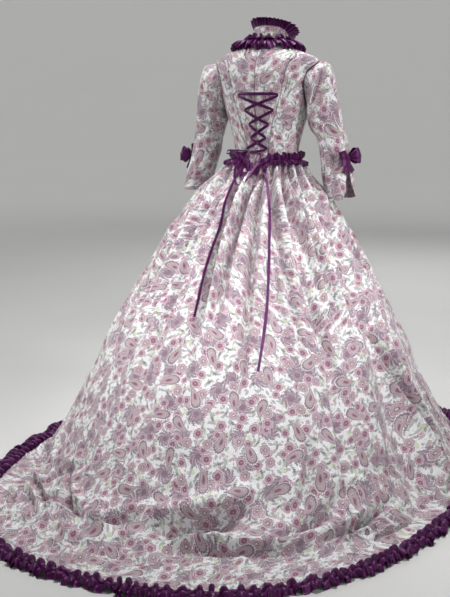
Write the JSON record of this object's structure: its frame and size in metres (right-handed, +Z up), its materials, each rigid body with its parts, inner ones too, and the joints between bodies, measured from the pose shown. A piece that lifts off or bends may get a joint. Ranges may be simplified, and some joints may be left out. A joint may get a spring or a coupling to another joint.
{
  "type": "victorian style dress",
  "caption": "Floor-length dress with a long train, laced back, stand collar and elbow sleeves, in worn shape with nobody in it; ruffles and bows trim it.",
  "frame": {"origin": "middle of the wearer's shoulder line, 1.40 m above the floor that the hem lies on", "axes": "+Z up, -Y to the wearer's front, +Y along the train, +X to the wearer's left"},
  "size_m": [1.6318, 2.0424, 1.5105],
  "materials": {
    "print_cotton": "soft cotton with a mauve and pink flower, leaf and paisley print on an off-white ground",
    "purple_satin": "dark purple satin with a soft shine"
  },
  "bodies": {
    "root": {"bodice_back_left": "print_cotton", "bodice_back_right": "print_cotton", "bodice_side_back_left": "print_cotton", "bodice_side_back_right": "print_cotton", "bodice_front_left": "print_cotton", "bodice_front_right": "print_cotton", "skirt_back": "print_cotton", "skirt_side_left": "print_cotton", "skirt_front": "print_cotton", "skirt_side_right": "print_cotton", "sleeve_left": "print_cotton", "sleeve_right": "print_cotton", "collar_stand": "print_cotton", "collar_frill": "purple_satin", "neck_frill": "purple_satin", "waist_frill": "purple_satin", "hem_frill_1": "purple_satin", "hem_frill_2": "purple_satin", "hem_frill_3": "purple_satin", "hem_frill_4": "purple_satin", "lace": "purple_satin", "lace_knot": "purple_satin", "lace_loop_side": "purple_satin", "lace_loop_down": "purple_satin", "lace_end_left": "purple_satin", "lace_end_right": "purple_satin", "bow_left_knot": "purple_satin", "bow_left_loop_back": "purple_satin", "bow_left_loop_front": "purple_satin", "bow_left_tail_back": "purple_satin", "bow_left_tail_front": "purple_satin", "bow_right_knot": "purple_satin", "bow_right_loop_back": "purple_satin", "bow_right_loop_front": "purple_satin", "bow_right_tail_back": "purple_satin", "bow_right_tail_front": "purple_satin"}
  },
  "joints": []
}
